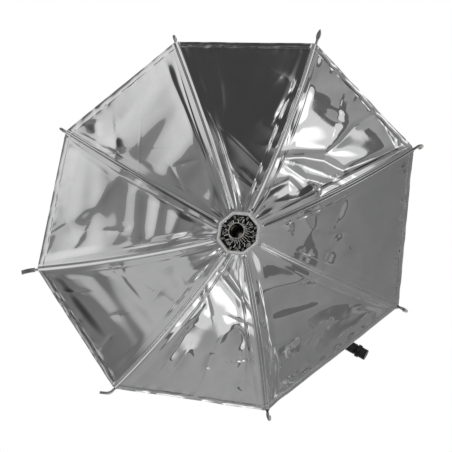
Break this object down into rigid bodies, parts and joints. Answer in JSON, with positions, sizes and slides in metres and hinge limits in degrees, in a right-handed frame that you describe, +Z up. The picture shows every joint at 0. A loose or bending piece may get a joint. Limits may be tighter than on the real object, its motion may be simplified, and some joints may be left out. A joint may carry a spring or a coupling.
{
  "type": "flash bulb gun",
  "caption": "Flash bulb gun with a folding umbrella reflector of mirror film on hinged wire ribs, a push-out bulb socket, a sliding runner and a flat battery case on a post.",
  "frame": {"origin": "on the axis of the mounting post's spigot, at the shoulder of its flange", "axes": "+Z up along the post, away from what holds it; the reflector faces -Y; +X to the right seen from in front with the reflector's mouth towards the viewer"},
  "size_m": [0.2228, 0.1, 0.2198],
  "materials": {
    "mirror_film": "silvered plastic film, creased and taut",
    "spring_wire": "drawn spring steel",
    "cast_hub": "satin die casting",
    "socket_plating": "nickel plate, handled",
    "contact_brass": "bare contact metal",
    "insulator_board": "phenolic board",
    "black_moulding": "fine moulded grain",
    "black_post": "black oxide, worn at the edges",
    "battery_jacket": "plain jacket",
    "capacitor_can": "drawn can",
    "red_button": "moulded button",
    "amber_lens": "moulded lens"
  },
  "bodies": {
    "gun": {"reflector_film": "mirror_film", "crown": "cast_hub", "rib_pins": "spring_wire", "socket_tube": "socket_plating", "socket_insulator": "insulator_board", "eject_spring": "spring_wire", "neck_tube": "socket_plating", "neck_nut": "spring_wire", "front_case": "black_moulding", "rear_case": "black_moulding", "case_screws": "spring_wire", "door_pin": "spring_wire", "battery": "battery_jacket", "battery_strip": "contact_brass", "battery_leaf": "contact_brass", "capacitor": "capacitor_can", "resistor": "insulator_board", "terminal_board": "insulator_board", "test_spring": "spring_wire", "test_lamp": "amber_lens", "sync_socket": "socket_plating", "sync_insulator": "black_moulding", "sync_pin": "contact_brass", "mounting_post": "black_post"},
    "fold_runner": {"runner": "cast_hub", "grip_ring": "black_moulding"},
    "bulb_ejector": {"eject_rod": "spring_wire", "contact_tip": "contact_brass", "eject_button": "black_moulding"},
    "test_key": {"test_button": "red_button"},
    "door": {"battery_door": "black_moulding"},
    "folding_rib_1": {"rib_1": "spring_wire", "rib_pocket_1": "mirror_film"},
    "folding_rib_2": {"rib_2": "spring_wire", "rib_pocket_2": "mirror_film"},
    "folding_rib_3": {"rib_3": "spring_wire", "rib_pocket_3": "mirror_film"},
    "folding_rib_4": {"rib_4": "spring_wire", "rib_pocket_4": "mirror_film"},
    "folding_rib_5": {"rib_5": "spring_wire", "rib_pocket_5": "mirror_film"},
    "folding_rib_6": {"rib_6": "spring_wire", "rib_pocket_6": "mirror_film"},
    "folding_rib_7": {"rib_7": "spring_wire", "rib_pocket_7": "mirror_film"},
    "folding_rib_8": {"rib_8": "spring_wire", "rib_pocket_8": "mirror_film"}
  },
  "joints": [
    {"name": "runner_slide", "type": "slide", "parent": "gun", "child": "fold_runner", "axis": [0, -1, 0], "range_m": [0, 0.00805], "deforming": ["reflector_film"]},
    {"name": "eject_press", "type": "slide", "parent": "gun", "child": "bulb_ejector", "axis": [0, -1, 0], "range_m": [0, 0.004], "stiffness_N_per_m": 400, "springref_m": -0.003, "deforming": ["eject_spring"]},
    {"name": "test_press", "type": "slide", "parent": "gun", "child": "test_key", "axis": [-1, 0, 0], "range_m": [0, 0.0008], "stiffness_N_per_m": 600, "springref_m": -0.001, "deforming": ["test_spring"]},
    {"name": "door_hinge", "type": "hinge", "parent": "gun", "child": "door", "pos_m": [0.0434, 0.0125, 0.0416], "axis": [0, 0, -1], "range_deg": [0, 110]},
    {"name": "rib_1_fold", "type": "hinge", "parent": "gun", "child": "folding_rib_1", "pos_m": [0.0235, -0.0345, 0.0766], "axis": [-1, 0, 0], "range_deg": [0, 65.1]},
    {"name": "rib_2_fold", "type": "hinge", "parent": "gun", "child": "folding_rib_2", "pos_m": [0.03057, -0.0345, 0.07953], "axis": [-0.7071, 0, -0.7071], "range_deg": [0, 65.1]},
    {"name": "rib_3_fold", "type": "hinge", "parent": "gun", "child": "folding_rib_3", "pos_m": [0.0335, -0.0345, 0.0866], "axis": [0, 0, -1], "range_deg": [0, 65.1]},
    {"name": "rib_4_fold", "type": "hinge", "parent": "gun", "child": "folding_rib_4", "pos_m": [0.03057, -0.0345, 0.09367], "axis": [0.7071, 0, -0.7071], "range_deg": [0, 65.1]},
    {"name": "rib_5_fold", "type": "hinge", "parent": "gun", "child": "folding_rib_5", "pos_m": [0.0235, -0.0345, 0.0966], "axis": [1, 0, 0], "range_deg": [0, 65.1]},
    {"name": "rib_6_fold", "type": "hinge", "parent": "gun", "child": "folding_rib_6", "pos_m": [0.01643, -0.0345, 0.09367], "axis": [0.7071, 0, 0.7071], "range_deg": [0, 65.1]},
    {"name": "rib_7_fold", "type": "hinge", "parent": "gun", "child": "folding_rib_7", "pos_m": [0.0135, -0.0345, 0.0866], "axis": [0, 0, 1], "range_deg": [0, 65.1]},
    {"name": "rib_8_fold", "type": "hinge", "parent": "gun", "child": "folding_rib_8", "pos_m": [0.01643, -0.0345, 0.07953], "axis": [-0.7071, 0, 0.7071], "range_deg": [0, 65.1]}
  ],
  "couplings": [
    {"joint": "rib_1_fold", "follows": "runner_slide", "rad_per_m": 140.76},
    {"joint": "rib_2_fold", "follows": "runner_slide", "rad_per_m": 140.76},
    {"joint": "rib_3_fold", "follows": "runner_slide", "rad_per_m": 140.76},
    {"joint": "rib_4_fold", "follows": "runner_slide", "rad_per_m": 140.76},
    {"joint": "rib_5_fold", "follows": "runner_slide", "rad_per_m": 140.76},
    {"joint": "rib_6_fold", "follows": "runner_slide", "rad_per_m": 140.76},
    {"joint": "rib_7_fold", "follows": "runner_slide", "rad_per_m": 140.76},
    {"joint": "rib_8_fold", "follows": "runner_slide", "rad_per_m": 140.76}
  ]
}
